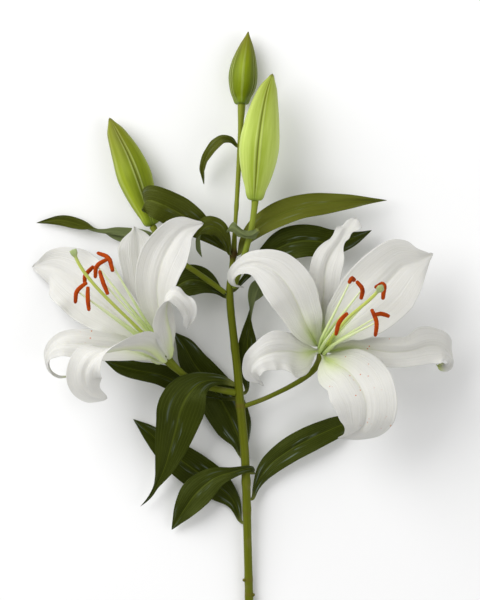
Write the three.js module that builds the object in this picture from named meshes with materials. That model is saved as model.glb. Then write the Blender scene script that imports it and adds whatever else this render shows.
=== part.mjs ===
// A cut stem of white oriental lily, lying on its back on a table: one leafy stem, two open flowers and
// three buds. Millimetres. +Y runs from the cut end to the buds, +X to the right of the stem, and +Z up
// from the table, so the open flowers look up.
//
// Every piece is one loft. Its rings run from where it is attached to its tip, its base is flat, and the
// last ring closes on a single tip point. Ring point 0 is the middle of the back, and the points run
// counterclockwise seen from the tip.
import * as THREE from "three";

// ---- Driving dimensions ----
const BLADE_STEP = 8.5; // length along a leaf or petal between two rings
const CURL_STEP = 26; // turn, in degrees, that also starts a new ring
const PETAL_THICKNESS = 1.0;
const LEAF_THICKNESS = 0.9;
const MIDRIB_KEEL = 0.35; // how far the midrib stands out of a blade's back
const BUD_RIB = 0.035; // depth of a bud's six ribs, as a share of its radius
const FILAMENT_BASE_RADIUS = 1.0;
const FILAMENT_TIP_RADIUS = 0.55;
const FILAMENT_CIRCLE = 3.7; // distance of the filaments' feet from the middle of the flower
const ANTHER_RADIUS = 1.75;
const JOINT_GAP = 0.4; // clearance between an anther and its filament

const COLOURS = {
  petal: { color: 0xf2f1ec, roughness: 0.5 },
  leaf: { color: 0x3a4f10, roughness: 0.35 },
  stem: { color: 0x5f6d1c, roughness: 0.45 },
  bud: { color: 0xa3b84a, roughness: 0.45 },
  style: { color: 0x9dbb3c, roughness: 0.4 },
  filament: { color: 0xd3dfa2, roughness: 0.45 },
  anther: { color: 0xb5430f, roughness: 0.85 },
};

// ---- Geometry helpers ----
const vector = ([x, y, z]) => new THREE.Vector3(x, y, z);

// One closed body through rings of equally many points, flat at the base and pointed at the tip.
function loft(rings, tip) {
  const count = rings[0].length;
  const points = [...rings.flat(), tip];
  const faces = [];
  for (let j = 1; j < count - 1; j++) faces.push(0, j + 1, j);
  for (let k = 0; k < rings.length - 1; k++) {
    for (let j = 0; j < count; j++) {
      const here = k * count + j;
      const beside = k * count + ((j + 1) % count);
      faces.push(here, beside, beside + count);
      faces.push(here, beside + count, here + count);
    }
  }
  const last = (rings.length - 1) * count;
  for (let j = 0; j < count; j++) faces.push(last + j, last + ((j + 1) % count), points.length - 1);
  const geometry = new THREE.BufferGeometry();
  geometry.setAttribute(
    "position",
    new THREE.Float32BufferAttribute(points.flatMap((p) => [p.x, p.y, p.z]), 3),
  );
  geometry.setIndex(faces);
  geometry.computeVertexNormals();
  return geometry;
}

// Smooth curves through stations that each hold a point in their first three numbers and more values
// after it. at(t) returns the point, its direction and the other values.
function track(stations) {
  const line = new THREE.CatmullRomCurve3(stations.map(vector));
  const values = stations[0].length - 3;
  const tracks = [];
  for (let i = 0; i < values; i++) {
    tracks.push(new THREE.CatmullRomCurve3(stations.map((s) => new THREE.Vector3(s[3 + i], 0, 0)), false, "catmullrom"));
  }
  return {
    line,
    at: (t) => ({
      point: line.getPoint(t),
      along: line.getTangent(t),
      values: tracks.map((curve) => curve.getPoint(t).x),
    }),
  };
}

// Places for the rings of a track: one for each step of length, closer together where the line or its
// face turns. The last stretch is left to the tip.
function ringPlaces({ line, at }, step) {
  const SAMPLES = 200;
  const LAST = 0.94;
  const weights = [0];
  let before = at(0);
  for (let i = 1; i <= SAMPLES; i++) {
    const now = at((i / SAMPLES) * LAST);
    const length = now.point.distanceTo(before.point);
    const turn = THREE.MathUtils.radToDeg(now.along.angleTo(before.along));
    weights.push(weights[i - 1] + Math.hypot(length / step, turn / CURL_STEP));
    before = now;
  }
  const spans = Math.ceil(weights[SAMPLES]);
  const places = [];
  for (let k = 0, i = 0; k <= spans; k++) {
    const wanted = (k / spans) * weights[SAMPLES];
    while (i < SAMPLES && weights[i] < wanted) i++;
    places.push((i / SAMPLES) * LAST);
  }
  return places;
}

// A leaf or petal. A station is x, y, z, half width, then the direction that its upper face looks in.
// cup lifts both margins above the midrib, as a share of the half width.
function blade(stations, { across, thickness, cup }) {
  const course = track(stations);
  const rings = ringPlaces(course, BLADE_STEP).map((t) => {
    const { point, along, values } = course.at(t);
    const half = Math.max(values[0], 0.8);
    const face = new THREE.Vector3(...values.slice(1)).projectOnPlane(along).normalize();
    const side = new THREE.Vector3().crossVectors(face, along);
    const spot = (share, layer) => {
      const body = 0.5 * thickness * (1 - 0.5 * share * share);
      const keel = layer < 0 && share === 0 ? MIDRIB_KEEL : 0;
      const lift = cup * half * (Math.abs(share) ** 1.6 - 0.4) + layer * (body + keel);
      return point.clone().addScaledVector(side, share * half).addScaledVector(face, lift);
    };
    const inner = across.slice(1);
    const outwards = inner.map((share) => [share, -1]);
    const inwards = [...inner].reverse().map((share) => [share, 1]);
    const mirrored = inner.map((share) => [-share, 1]);
    const back = [...inner].reverse().map((share) => [-share, -1]);
    const order = [[0, -1], ...outwards, [1, 0], ...inwards, [0, 1], ...mirrored, [-1, 0], ...back];
    return order.map(([share, layer]) => spot(share, layer));
  });
  return loft(rings, course.line.getPoint(1));
}

// A round piece: a stem, bud, style, filament or anther. A station is x, y, z, radius.
function tube(stations, { sides, step, ribs = 0 }) {
  const course = track(stations);
  const face = new THREE.Vector3(0, 0, 1);
  const rings = ringPlaces(course, step).map((t) => {
    const { point, along, values } = course.at(t);
    face.projectOnPlane(along).normalize();
    const side = new THREE.Vector3().crossVectors(face, along);
    return Array.from({ length: sides }, (_, j) => {
      const angle = (2 * Math.PI * j) / sides - Math.PI / 2;
      const radius = Math.max(values[0], 0.3) * (1 + ribs * (j % 2 ? -1 : 1));
      return point
        .clone()
        .addScaledVector(side, radius * Math.cos(angle))
        .addScaledVector(face, radius * Math.sin(angle));
    });
  });
  return loft(rings, course.line.getPoint(1));
}

const plant = new THREE.Group();

function add(name, geometry, finish) {
  const mesh = new THREE.Mesh(geometry, new THREE.MeshStandardMaterial({ ...COLOURS[finish], metalness: 0 }));
  mesh.name = name;
  plant.add(mesh);
}

const leaf = (name, stations, cup = 0.12) =>
  add(name, blade(stations, { across: [0, 0.5], thickness: LEAF_THICKNESS, cup }), "leaf");

const petal = (name, stations, cup = 0.22) =>
  add(name, blade(stations, { across: [0, 0.45, 0.8], thickness: PETAL_THICKNESS, cup }), "petal");

const bud = (name, stations) => add(name, tube(stations, { sides: 12, step: 9, ribs: BUD_RIB }), "bud");

// ---- Stem and stalks: x, y, z, radius ----
add(
  "stem",
  tube(
    [
      [3.5, 38, 4, 3.8],
      [3, 62, 5, 3.8],
      [2, 100, 8, 3.8],
      [1, 140, 12, 3.8],
      [-0.5, 172, 15.5, 3.8],
      [-4, 208, 20, 3.7],
      [-6.5, 238, 23.5, 3.5],
      [-10, 268, 26, 3.3],
      [-12.3, 296, 27.5, 3.2],
      [-11, 312, 28, 2.4],
      [-9.2, 327, 28.5, 2.6],
      [-8.5, 341, 28.3, 1.8],
      [-7, 362, 27, 1.8],
      [-5.5, 388, 24, 1.9],
      [-4.2, 412, 20, 1.8],
      [-3.2, 436, 16, 1.9],
      [-2.8, 444, 14.5, 2.6],
      [-2.7, 446.5, 14, 2.6],
    ],
    { sides: 8, step: 17 },
  ),
  "stem",
);

const stalk = (name, stations) => add(name, tube(stations, { sides: 8, step: 14 }), "stem");

stalk("left_flower_stalk", [
  [-9.4, 216, 21, 2.9],
  [-20, 218, 23, 2.6],
  [-33, 221, 25, 2.6],
  [-43, 225.5, 28, 2.7],
  [-53, 233.5, 31, 2.8],
  [-60, 240, 33.2, 3.6],
  [-62.6, 243.4, 34.2, 3.6],
  [-63.4, 244.6, 34.8, 2],
]);
stalk("right_flower_stalk", [
  [1.3, 205.5, 19.6, 2],
  [15, 210.5, 19.5, 1.9],
  [29, 217, 20.5, 1.9],
  [42, 224, 23.5, 2.1],
  [53, 232, 28, 2.4],
  [59, 240, 32, 3],
  [61.3, 246.5, 35.5, 3.6],
  [61.8, 248.5, 37, 2],
]);
stalk("right_bud_stalk", [
  [-8.2, 301, 31.6, 1.8],
  [-4, 314, 34, 2.3],
  [0, 328, 36, 2.4],
  [4, 342, 37, 2.4],
  [6.5, 356, 36.5, 2.4],
  [7.8, 365.5, 36.1, 2.6],
  [8, 368.6, 36, 2.6],
]);
stalk("left_bud_stalk", [
  [-17, 296.5, 28.5, 1.9],
  [-26, 303, 29, 2.2],
  [-38, 311.5, 28.5, 2.2],
  [-53, 322, 26.5, 2.2],
  [-65, 334, 24, 2.3],
  [-72.2, 345.5, 22, 2.6],
  [-73.8, 348.6, 21.4, 2.6],
]);

// ---- Buds ----
bud("top_bud", [
  [-2.6, 447.5, 13.8, 3.6],
  [-2.6, 455, 12.6, 8.6],
  [-1.8, 464, 11.9, 11.2],
  [-1.2, 475, 11.6, 11.2],
  [0.4, 488, 10.8, 8],
  [1.8, 499, 9.6, 3.6],
  [2.6, 506, 9, 0],
]);
bud("right_bud", [
  [8, 369.4, 36, 3.2],
  [8.4, 376, 36.3, 7.2],
  [9.2, 385, 37, 10.8],
  [10.3, 399, 37.5, 14.4],
  [11.5, 413, 37.5, 15.9],
  [13, 426, 37, 14.6],
  [15, 440, 36, 12.2],
  [18, 456, 34, 8.2],
  [20.4, 465, 33, 4.6],
  [22, 471, 32, 0],
]);
bud("left_bud", [
  [-74.4, 350, 21, 3.6],
  [-77, 357, 20, 7.4],
  [-82.4, 371, 17, 11.2],
  [-89, 389, 14.6, 13.8],
  [-95.5, 406, 13.4, 11.8],
  [-101.5, 419, 12.4, 8.8],
  [-106, 429, 11.4, 5.4],
  [-109, 436.5, 10.6, 0],
]);

// ---- Leaves: x, y, z, half width, upper face ----
leaf("low_left_leaf", [
  [-3.8, 112, 4.6, 1.5, -0.3, 0, 1],
  [-9, 127, 4, 6, -0.1, 0, 1],
  [-22, 140, 4.6, 12, 0, 0, 1],
  [-42, 154, 5.4, 14, 0, 0, 1],
  [-62, 169, 5, 11, 0, 0, 1],
  [-78, 184, 3.6, 6, 0, 0, 1],
  [-90, 194, 2.4, 0, 0, 0, 1],
]);
leaf("low_front_leaf", [
  [8, 151.5, 12.6, 1.5, 1, 0.3, 0.2],
  [6.4, 154.5, 17, 2, 0.7, 0.3, 0.6],
  [0, 154.5, 20, 2.6, 0, 0.2, 1],
  [-9, 152, 18.5, 4, -0.1, 0, 1],
  [-24, 147, 16, 9, 0, 0, 1],
  [-38, 136, 14, 12.5, 0, 0, 1],
  [-48.5, 122, 11, 9, 0, 0, 1],
  [-59, 105, 6, 0, 0, 0, 1],
]);
leaf("low_right_leaf", [
  [6.4, 130, 10, 1.5, 0.6, -0.2, 0.8],
  [9.6, 141, 9.6, 3.6, 0.3, -0.2, 1],
  [18, 155, 10, 8, 0.1, -0.1, 1],
  [34, 168, 11, 10, 0, 0, 1],
  [52, 178, 11, 10.5, 0, 0, 1],
  [72, 187, 8, 9, 0, 0, 1],
  [88, 193, 5, 5, 0, 0, 1],
  [99, 197, 3, 0, 0, 0, 1],
]);
leaf("broad_middle_leaf", [
  [-3.6, 165, 9.4, 1.5, 0, 0, 1],
  [-4, 174, 7, 7, 0, 0, 1],
  [-8, 186, 5.4, 14, 0, 0, 1],
  [-17, 205, 6, 17, 0, 0, 1],
  [-29, 223, 7.4, 14.5, 0, 0, 1],
  [-41, 239, 9, 11.5, 0, 0, 1],
  [-49, 253.5, 11, 7.5, 0.2, 0, 1],
  [-57, 264, 13, 0, 0.2, 0, 1],
]);
leaf("drooping_leaf", [
  [-9, 222.5, 24, 1.8, -0.1, 0.2, 1],
  [-17, 225.5, 28, 3.5, -0.2, 0.2, 1],
  [-28, 226, 33, 6, -0.3, 0.2, 1],
  [-37, 223, 37, 11, -0.3, 0.2, 1],
  [-45, 215, 38, 17, -0.2, 0, 1],
  [-51, 203, 36, 19, 0, 0, 1],
  [-55, 188, 31, 16.5, 0, 0, 1],
  [-60, 170, 25.5, 12.5, 0, 0, 1],
  [-65, 154, 20.5, 7.5, 0, 0, 1],
  [-71, 141, 15.5, 2.4, 0, 0, 1],
  [-77, 131, 11.5, 1.3, 0, 0, 1],
  [-84, 124, 8, 0, 0, 0, 1],
]);
leaf("middle_left_leaf", [
  [-8.6, 210.5, 16.5, 1.5, 0, 0, 1],
  [-20, 211.5, 16, 1.9, 0, 0, 1],
  [-32, 214.5, 16, 4, 0, 0, 1],
  [-44, 219, 16.5, 7, 0, 0, 1],
  [-56, 225, 18, 9, 0, 0, 1],
  [-68, 230, 20, 8.5, 0, 0, 1],
  [-84, 233, 22, 7.5, 0, 0, 1],
  [-100, 237, 23, 6, 0, 0, 1],
  [-114, 243, 23, 0, 0, 0, 1],
]);
leaf("middle_right_leaf", [
  [1.4, 217, 17, 1.4, 0.3, 0, 1],
  [0.6, 229, 17, 4, 0.2, 0, 1],
  [1.4, 243, 18.5, 6.4, 0, 0, 1],
  [2, 257, 21, 7, -0.2, 0, 1],
  [3, 270, 24, 4, -0.7, 0, 0.7],
  [4, 281, 26, 2.6, -1, 0, 0],
  [7, 292, 27, 6, -0.6, 0.3, -0.8],
  [11, 301, 27, 6.5, -0.2, 0.3, -1],
  [17, 310, 26, 0, -0.2, 0.3, -1],
]);
leaf("upper_left_leaf", [
  [-16, 293, 23.5, 1.8, -0.2, 0, 1],
  [-22, 298, 21, 4, 0, 0, 1],
  [-32, 304, 18, 10, 0, 0, 1],
  [-44, 306, 16, 12.5, 0, 0, 1],
  [-56, 300, 14, 10, 0, 0, 1],
  [-66, 290, 11, 0, 0, 0, 1],
]);
leaf("leaf_behind_right_flower", [
  [-8.4, 298, 24, 1.4, 0.3, 0, 1],
  [3, 311, 20, 3, 0, 0, 1],
  [17, 325, 19, 8, 0, 0, 1],
  [33, 334.5, 19.5, 13, 0, 0, 1],
  [50, 337.5, 20, 13, 0, 0, 1],
  [68, 336, 18, 11, 0, 0, 1],
  [86, 339, 14, 6, 0, 0, 1],
  [102, 346, 9, 0, 0, 0, 1],
]);
leaf("upper_right_leaf", [
  [-4.8, 327, 28, 1.5, 0.3, 0.1, 1],
  [-1, 336, 26.5, 4, 0.1, 0.2, 1],
  [8, 346.5, 26, 8, -0.1, 0.3, 1],
  [25, 357.5, 27, 10.5, -0.1, 0.3, 1],
  [48, 365, 28, 10, -0.1, 0.3, 1],
  [80, 368.5, 24, 6.5, 0, 0.2, 1],
  [114, 370, 16, 0, 0, 0.2, 1],
]);
leaf("broad_upper_leaf", [
  [-13.2, 329, 28, 1.4, -0.3, 0, 1],
  [-26, 340, 29.5, 6, -0.1, 0.1, 1],
  [-40, 351, 33.5, 11, -0.1, 0, 1],
  [-53, 359.5, 40, 13, -0.1, 0, 1],
  [-66, 366, 44, 13, -0.2, 0, 1],
  [-76, 369.5, 41.5, 12, -0.6, 0, 0.8],
  [-81, 368, 36.5, 9, -1, 0, 0.1],
  [-79, 363, 33, 4.5, -0.7, -0.3, -0.6],
  [-73, 359, 32, 0, -0.3, -0.3, -1],
]);
leaf("curled_leaf", [
  [-12.6, 326.5, 32, 1.4, -0.5, 0, 1],
  [-15, 337, 37, 4, -0.2, 0.1, 1],
  [-21, 346, 41.5, 7.5, -0.2, 0.2, 1],
  [-28.5, 349, 43.5, 8, -0.4, 0.2, 0.9],
  [-35, 346.5, 41.5, 6.8, -0.9, 0.2, 0.5],
  [-38.5, 340, 37, 4.8, -1, -0.2, -0.1],
  [-37, 332, 32, 2.6, -0.7, -0.3, -0.7],
  [-34.5, 324, 28, 0, -0.5, -0.3, -0.8],
]);
leaf("far_left_leaf", [
  [-58.5, 327.2, 21.9, 1.5, 0, 0, -1],
  [-66, 332.5, 17, 4.5, 0, 0, -1],
  [-78, 338, 11, 7, 0, 0, -1],
  [-92, 341, 7.5, 7, 0, 0, -1],
  [-106, 344, 7.5, 4.6, 0, 0.5, -0.8],
  [-118, 346.4, 7.5, 2, 0, 1, 0.1],
  [-132, 350.5, 7, 4.4, 0, 0.4, 0.9],
  [-148, 354, 6, 4.2, 0, 0, 1],
  [-168, 352, 4, 0, 0, 0, 1],
]);
leaf("bract_leaf", [
  [-6.6, 414, 21, 1.3, 0, 0.5, 1],
  [-11, 418, 24, 3, -0.1, 0.6, 1],
  [-18, 418.5, 26.5, 4.6, -0.4, 0.6, 0.9],
  [-26, 412.5, 26, 5, -0.6, 0.4, 0.8],
  [-32, 403, 22, 4.6, -0.8, 0.2, 0.7],
  [-34.5, 393, 16.5, 3, -0.8, 0, 0.6],
  [-33, 383, 11, 0, -0.8, 0, 0.6],
]);

// ---- Left flower: it looks up and to the left. Three broad inner petals, three narrow outer ones ----
const INNER_CUP = 0.3;
const OUTER_CUP = 0.14;

petal("left_inner_petal_back", [
  [-67.8, 245.6, 30.2, 2.6, 0.5, 0, 0.85],
  [-81, 259, 29, 10, 0.3, 0, 1],
  [-100, 276, 27, 19, 0.1, 0.1, 1],
  [-120, 292.5, 23, 25, 0, 0.1, 1],
  [-138, 307, 17, 24, -0.1, 0.1, 1],
  [-154, 316, 10, 17, -0.3, 0.1, 1],
  [-171, 316.5, 3, 0, -0.4, 0.1, 1],
], 0.16);
petal("left_inner_petal_right", [
  [-59.6, 250.2, 36, 2.6, -0.75, -0.65, 0.1],
  [-66, 268, 45, 9, -0.6, -0.35, 0.7],
  [-71, 290, 53, 15, -0.45, -0.2, 0.87],
  [-69, 311, 58, 18, -0.3, -0.1, 0.95],
  [-62, 329, 60, 18, -0.1, 0, 1],
  [-50, 345, 58, 12, 0.1, 0.2, 1],
  [-33, 351, 52, 0, 0.2, 0.3, 0.95],
], INNER_CUP);
petal("left_inner_petal_front", [
  [-65.2, 242.2, 39.4, 2.6, 0.1, 0.6, -0.8],
  [-77, 252, 56, 9, 0, 0.75, -0.65],
  [-89, 254.5, 70, 13, -0.1, 0.85, -0.5],
  [-102, 253.5, 81, 15, -0.2, 0.95, -0.2],
  [-113, 250.5, 87, 16, -0.45, 0.85, 0.3],
  [-121, 244, 87.5, 16, -0.5, 0.4, 0.75],
  [-126, 235, 84.5, 15, -0.3, 0.1, 0.95],
  [-126.5, 225, 80, 14, -0.2, -0.1, 1],
  [-121, 216.5, 75.5, 9.5, -0.1, -0.2, 1],
  [-109, 212, 71, 0, -0.1, -0.2, 1],
], 0.15);
petal("left_outer_petal_low", [
  [-69, 241, 34.5, 2.6, 0.7, 0.7, 0.1],
  [-82, 247.5, 40, 8, 0.35, 0.6, 0.7],
  [-99, 251.5, 47, 11, 0.1, 0.35, 0.93],
  [-118, 253.5, 52, 12, -0.1, 0.25, 0.95],
  [-134, 255.5, 54, 12, -0.4, 0.3, 0.87],
  [-146, 255, 52, 10.5, -0.7, 0.3, 0.6],
  [-155, 249.5, 46, 8.5, -0.9, 0.2, 0.35],
  [-158.5, 240, 39, 6.5, -1, -0.2, 0.2],
  [-156, 232.5, 33, 5, -0.7, -0.7, 0.1],
  [-149, 228.5, 30, 3, -0.2, -1, 0.1],
  [-141, 229, 29, 0, 0.2, -1, 0.1],
], OUTER_CUP);
petal("left_outer_petal_back", [
  [-63, 250.6, 29.2, 2.6, -0.1, -0.6, 0.8],
  [-72, 270, 23, 9, -0.1, -0.3, 0.95],
  [-80, 289, 20, 13, -0.1, -0.1, 1],
  [-83.5, 307, 18, 14, 0, 0, 1],
  [-84.5, 324, 17, 14, 0, 0.1, 1],
  [-86, 338, 15.5, 10.5, 0, 0.3, 0.95],
  [-89, 349, 13, 0, 0, 0.4, 0.9],
], OUTER_CUP);
petal("left_outer_petal_right", [
  [-60, 246.5, 40.6, 2.6, -0.6, -0.1, -0.8],
  [-61, 262, 56, 8, -0.65, 0.1, -0.75],
  [-64, 277, 70, 11, -0.8, 0.4, -0.4],
  [-63.5, 289, 80, 11.5, -0.6, 0.8, 0.3],
  [-57, 294.5, 85, 11, 0, 0.75, 0.65],
  [-49, 288.5, 85.5, 9, 0.4, 0.4, 0.82],
  [-44, 277.5, 81, 6, 0.5, 0.1, 0.85],
  [-46, 267, 75, 0, 0.5, 0, 0.86],
], OUTER_CUP);

// ---- Right flower: it looks straight up, a little up and to the right ----
petal("right_inner_petal_left", [
  [57.6, 254.4, 42, 2.6, 0.6, -0.5, 0.6],
  [50, 268, 57, 13, 0.35, -0.3, 0.9],
  [43.5, 283, 62, 17, 0.2, -0.2, 0.95],
  [36.5, 297, 66.5, 20, 0.1, -0.1, 1],
  [24, 312, 66, 18, -0.1, 0.1, 1],
  [8, 319, 61, 11, -0.3, 0.3, 0.9],
  [-4, 316.5, 54, 8.5, -0.7, 0.35, 0.6],
  [-10.6, 309, 47.5, 7, -0.9, 0, 0.4],
  [-9, 302, 43, 5, -0.6, -0.7, 0.2],
  [-1, 300, 41.5, 0, 0.1, -1, 0.2],
], 0.2);
petal("right_outer_petal_up", [
  [62.8, 258, 39.6, 2.6, 0, -0.4, 0.9],
  [62, 278, 47, 9, 0, -0.2, 1],
  [63, 300, 51, 12, 0, 0, 1],
  [64.5, 315, 50, 13, 0, 0.2, 1],
  [68.5, 326.5, 46.5, 12, -0.1, 0.4, 0.9],
  [75, 336.5, 41, 8.5, -0.2, 0.5, 0.85],
  [80, 345, 35, 6.5, -0.2, 0.5, 0.85],
  [86, 352.5, 30, 5, -0.2, 0.5, 0.85],
  [89, 356, 27.5, 0, -0.2, 0.5, 0.85],
], OUTER_CUP);
petal("right_inner_petal_right", [
  [68.4, 254.6, 41.6, 2.6, -0.5, -0.4, 0.75],
  [72, 260, 47, 6.5, -0.45, -0.35, 0.8],
  [77, 269, 53, 17, -0.3, -0.25, 0.92],
  [94, 285, 59, 26, -0.1, -0.1, 1],
  [113, 304, 59, 28, 0.1, 0.1, 1],
  [127, 318, 53, 23, 0.3, 0.3, 0.9],
  [140.5, 322, 46, 10, 0.4, 0.3, 0.86],
  [150, 327, 40, 0, 0.4, 0.3, 0.86],
], 0.16);
petal("right_outer_petal_right", [
  [69.2, 249.6, 39.2, 2.6, -0.5, 0, 0.85],
  [82, 251.5, 45, 7, -0.3, 0, 0.95],
  [98, 251, 50, 9, -0.1, 0, 1],
  [115, 248.5, 53, 12, 0, 0, 1],
  [132, 249.5, 52, 12.5, 0.15, 0.05, 1],
  [147, 253.5, 47.5, 14.5, 0.4, 0.1, 0.9],
  [159, 252, 41, 12, 0.75, 0.1, 0.65],
  [165.5, 243.5, 33, 7, 0.95, -0.2, 0.3],
  [161, 236.5, 27.5, 4, 0.4, -0.9, 0.2],
  [153, 238, 25, 0, -0.1, -0.9, 0.2],
], OUTER_CUP);
petal("right_inner_petal_low", [
  [64.4, 244.4, 42, 2.6, -0.3, 0.5, 0.8],
  [72, 240, 52, 12, -0.2, 0.35, 0.9],
  [81, 234, 62, 21, -0.1, 0.2, 0.97],
  [89.5, 223.5, 69, 26, 0, 0.1, 1],
  [95, 211, 72, 25.5, 0, -0.1, 1],
  [96, 198, 69, 23, 0, -0.4, 0.9],
  [93, 187.5, 61, 17, 0, -0.8, 0.6],
  [85, 182.5, 52, 9, -0.2, -0.95, 0.3],
  [74, 180, 46, 0, -0.4, -0.9, 0.2],
], 0.16);
petal("right_outer_petal_left", [
  [55, 249, 40, 2.6, 0.5, 0, 0.85],
  [46, 248, 47.5, 10, 0.3, 0, 0.95],
  [34, 249.5, 58.5, 14.5, 0.1, 0, 1],
  [20, 248, 64, 15, -0.15, 0, 1],
  [9, 242, 63, 11, -0.5, -0.2, 0.85],
  [4.5, 234, 56, 8, -0.7, -0.55, 0.45],
  [8.5, 226, 50, 6, -0.3, -0.95, 0.2],
  [14, 221.5, 47, 0, 0.2, -0.95, 0.2],
], OUTER_CUP);

// ---- Pistils: ovary, style and stigma in one, x, y, z, radius ----
const pistil = (name, stations) => add(name, tube(stations, { sides: 6, step: 12 }), "style");

pistil("left_pistil", [
  [-65.6, 247.6, 36.4, 1.6],
  [-71, 253, 39.4, 2.1],
  [-79, 261, 43.4, 1.9],
  [-87, 269, 46.8, 1.4],
  [-108, 289.5, 55.5, 1.4],
  [-121, 303.5, 60.5, 1.4],
  [-130, 315.5, 63.6, 1.5],
  [-134.6, 324.5, 65, 2.3],
  [-136.2, 328.6, 65.4, 3.1],
  [-136.8, 330, 65.6, 2.4],
]);
pistil("right_pistil", [
  [62.3, 250.6, 41, 1.6],
  [63.8, 252.8, 49, 2.1],
  [66.5, 257.4, 60, 1.9],
  [71.5, 264, 71, 1.4],
  [82, 276.5, 91, 1.4],
  [91, 284.5, 105, 1.4],
  [99, 291.5, 116, 1.6],
  [103.6, 296.6, 122, 2.6],
  [105.8, 299.2, 124.6, 3.6],
  [106.6, 300.2, 125.6, 2.6],
]);

// ---- Stamens: six filaments stand round each pistil, each with an anther hung on its tip ----
const FLOWERS = {
  left: {
    foot: [-64, 246, 35],
    axis: [-0.6, 0.67, 0.43],
    // Each anther from end to end over the middle, where the filament holds it.
    anthers: [
      [[-134.5, 287, 68], [-133, 297, 71], [-125, 304, 72]],
      [[-123, 281, 88], [-124, 291, 88], [-124, 300.5, 85]],
      [[-127.5, 302, 51], [-127, 309.5, 53], [-120, 317, 54]],
      [[-119, 307, 58], [-117.5, 317, 61], [-109, 322.5, 60]],
      [[-117.5, 327.5, 71], [-108, 323, 76], [-104.5, 312, 79]],
      [[-115, 313.5, 84], [-112, 304, 88], [-108, 294, 87]],
    ],
  },
  right: {
    foot: [62, 250, 38],
    axis: [0.2, 0.33, 0.92],
    anthers: [
      [[81.5, 303, 105], [83.5, 306.5, 101], [86, 305.5, 92]],
      [[87, 305, 106], [92, 298.5, 105], [91, 290.5, 101]],
      [[102, 299.5, 87], [109, 302.5, 91], [108.5, 290, 89]],
      [[71, 262, 111], [74, 273, 115], [80.5, 280, 114]],
      [[102, 261, 107], [103, 272.5, 110], [99, 283, 108]],
      [[102, 278.5, 98], [107.5, 279, 99], [113.5, 277, 97]],
    ],
  },
};

function stamens(flowerName, { foot, axis, anthers }) {
  const up = vector(axis).normalize();
  const right = new THREE.Vector3(1, 0, 0).projectOnPlane(up).normalize();
  const forward = new THREE.Vector3().crossVectors(up, right);
  const bearing = (ends) => {
    const offset = vector(ends[1]).sub(vector(foot));
    return Math.atan2(offset.dot(forward), offset.dot(right));
  };
  const ordered = [...anthers].sort((a, b) => bearing(a) - bearing(b));
  const turnOf = (i) => (2 * Math.PI * i) / ordered.length;
  const shift = ordered.reduce((sum, ends, i) => sum + bearing(ends) - turnOf(i), 0) / ordered.length;
  ordered.forEach((ends, i) => {
    const angle = shift + turnOf(i);
    const outward = right.clone().multiplyScalar(Math.cos(angle)).addScaledVector(forward, Math.sin(angle));
    const start = vector(foot).addScaledVector(up, 4).addScaledVector(outward, FILAMENT_CIRCLE);
    const lower = start.clone().addScaledVector(up, 24).addScaledVector(outward, 2.5);
    const joint = vector(ends[1]);
    const reach = joint.clone().sub(lower).normalize();
    const tip = joint.clone().addScaledVector(reach, -(ANTHER_RADIUS + JOINT_GAP));
    const middle = lower.clone().lerp(tip, 0.5).addScaledVector(up, 2);
    const station = (p, radius) => [p.x, p.y, p.z, radius];
    add(
      `${flowerName}_filament_${i + 1}`,
      tube(
        [
          station(start, FILAMENT_BASE_RADIUS),
          station(lower, FILAMENT_BASE_RADIUS * 0.9),
          station(middle, FILAMENT_BASE_RADIUS * 0.75),
          station(tip, FILAMENT_TIP_RADIUS),
        ],
        { sides: 6, step: 16 },
      ),
      "filament",
    );
    const spine = new THREE.CatmullRomCurve3(ends.map(vector));
    const swell = [0.55, 0.95, 1, 0.95, 0.6, 0];
    add(
      `${flowerName}_anther_${i + 1}`,
      tube(
        swell.map((share, k) => station(spine.getPoint(k / (swell.length - 1)), share * ANTHER_RADIUS)),
        { sides: 6, step: 5 },
      ),
      "anther",
    );
  });
}

for (const [flowerName, flower] of Object.entries(FLOWERS)) stamens(flowerName, flower);

// The origin is on the table, under the middle of the plant.
const box = new THREE.Box3().setFromObject(plant);
const middle = box.getCenter(new THREE.Vector3());
plant.position.set(-middle.x, -middle.y, -box.min.z);

export default plant;
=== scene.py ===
import math

import bmesh
import bpy
import numpy as np
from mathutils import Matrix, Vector


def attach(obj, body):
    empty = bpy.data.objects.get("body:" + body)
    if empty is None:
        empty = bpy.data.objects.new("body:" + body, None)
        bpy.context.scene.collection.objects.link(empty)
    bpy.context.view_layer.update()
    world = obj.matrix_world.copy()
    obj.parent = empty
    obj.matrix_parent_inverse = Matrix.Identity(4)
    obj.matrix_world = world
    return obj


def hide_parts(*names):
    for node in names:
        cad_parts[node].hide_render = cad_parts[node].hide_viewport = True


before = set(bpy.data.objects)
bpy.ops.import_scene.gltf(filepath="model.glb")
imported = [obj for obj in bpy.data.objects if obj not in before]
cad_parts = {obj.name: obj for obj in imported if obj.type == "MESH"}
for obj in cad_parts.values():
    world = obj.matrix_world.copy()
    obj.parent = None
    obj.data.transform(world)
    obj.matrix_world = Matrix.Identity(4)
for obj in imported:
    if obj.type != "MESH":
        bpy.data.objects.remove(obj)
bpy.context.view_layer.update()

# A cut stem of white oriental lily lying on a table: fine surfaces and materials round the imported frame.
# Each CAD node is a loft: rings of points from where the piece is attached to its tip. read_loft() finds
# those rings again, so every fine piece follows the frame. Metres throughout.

MM = 0.001
SAME_POINT = 0.002 * MM  # points closer than this are one point
FINE_STEPS = 40  # steps from one centre to the next when a line is measured
THINNEST = 0.02 * MM  # the smallest radius or half width that a row keeps

# ---- Camera and light ----
FRAME_HEIGHT = 0.480  # what the picture shows from bottom to top, at the height of the stem
VIEW_CENTRE = (-0.0027, 0.018)
LENS = 300.0  # a long lens, far away, so that the plant is seen from straight above all over
SENSOR = 36.0
STEM_HEIGHT = 0.03
LIGHT_SIZE = 2.2
FLOOR_SIZE = 4.0  # from the middle to each edge
WORLD_STRENGTH = 0.42
PALE_GREY = (0.9, 0.9, 0.9)


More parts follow.
